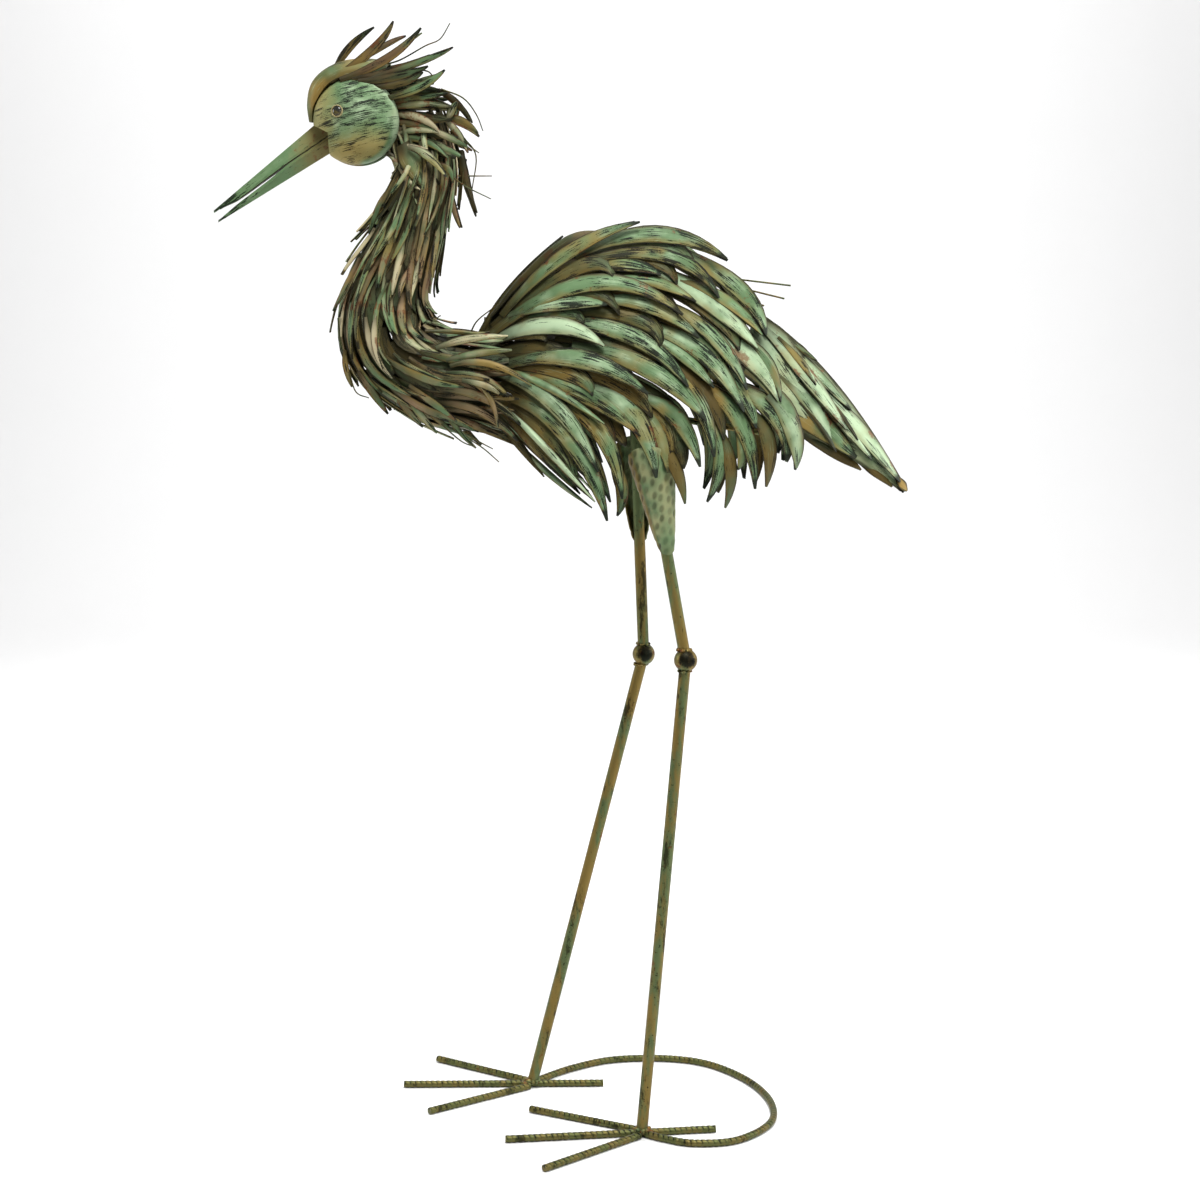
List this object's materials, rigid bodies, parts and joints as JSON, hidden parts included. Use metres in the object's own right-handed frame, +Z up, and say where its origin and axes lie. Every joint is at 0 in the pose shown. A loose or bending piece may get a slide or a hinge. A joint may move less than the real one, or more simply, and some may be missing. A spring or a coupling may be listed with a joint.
{
  "type": "heron figure",
  "caption": "Standing garden heron of cut and bent sheet steel feathers over a wire frame, on tube legs with bar feet joined by a ribbed loop; worn green, ochre and rust patina.",
  "frame": {"origin": "bottom centre of the bounding box, on the floor the feet stand on", "axes": "+Z up, the bird looks and points its beak along -X, its left side faces -Y"},
  "size_m": [0.5928, 0.2576, 0.9517],
  "materials": {
    "verdigris": "satin green patina over ochre with dark brushed streaks",
    "pale_verdigris": "satin pale green patina with ochre rim",
    "ochre_green": "satin ochre and olive patina with rust at the welds",
    "fringe_tan": "satin tan, ochre and green patina",
    "dark_patina": "dark worn patina"
  },
  "bodies": {
    "root": {"near_foot_middle_toe": "ochre_green", "near_foot_outer_toe": "ochre_green", "near_foot_inner_toe": "ochre_green", "far_foot_middle_toe": "ochre_green", "far_foot_outer_toe": "ochre_green", "far_foot_inner_toe": "ochre_green", "foot_loop": "ochre_green", "near_shin": "ochre_green", "far_shin": "ochre_green", "near_knee_ball": "ochre_green", "far_knee_ball": "ochre_green", "near_thigh_tube": "ochre_green", "far_thigh_tube": "ochre_green", "near_thigh_plate": "ochre_green", "far_thigh_plate": "ochre_green", "near_cheek_shell": "pale_verdigris", "far_cheek_shell": "pale_verdigris", "near_eye": "dark_patina", "far_eye": "dark_patina", "beak_upper": "verdigris", "beak_lower": "verdigris", "crest_cap": "verdigris", "near_crest_fan": "verdigris", "far_crest_fan": "verdigris", "near_nape_fan": "pale_verdigris", "far_nape_fan": "pale_verdigris", "neck_collar_01": "fringe_tan", "neck_collar_02": "fringe_tan", "neck_collar_03": "fringe_tan", "neck_collar_04": "fringe_tan", "neck_collar_05": "fringe_tan", "neck_collar_06": "fringe_tan", "neck_collar_07": "fringe_tan", "neck_collar_08": "fringe_tan", "neck_collar_09": "fringe_tan", "neck_collar_10": "fringe_tan", "neck_collar_11": "fringe_tan", "near_wing_belly_row": "verdigris", "near_wing_shoulder_row": "verdigris", "near_wing_middle_row": "verdigris", "near_wing_lower_row": "verdigris", "near_wing_trailing_row": "verdigris", "far_wing_belly_row": "verdigris", "far_wing_shoulder_row": "verdigris", "far_wing_middle_row": "verdigris", "far_wing_lower_row": "verdigris", "far_wing_trailing_row": "verdigris", "near_tail_long_plate": "verdigris", "near_tail_short_plate": "verdigris", "far_tail_long_plate": "verdigris", "far_tail_short_plate": "verdigris", "back_saddle": "dark_patina", "hip_bar": "ochre_green", "near_frame_rail": "ochre_green", "far_frame_rail": "ochre_green", "spine_rod": "ochre_green", "back_wire_1": "ochre_green", "back_wire_2": "ochre_green", "back_wire_3": "ochre_green"}
  },
  "joints": []
}
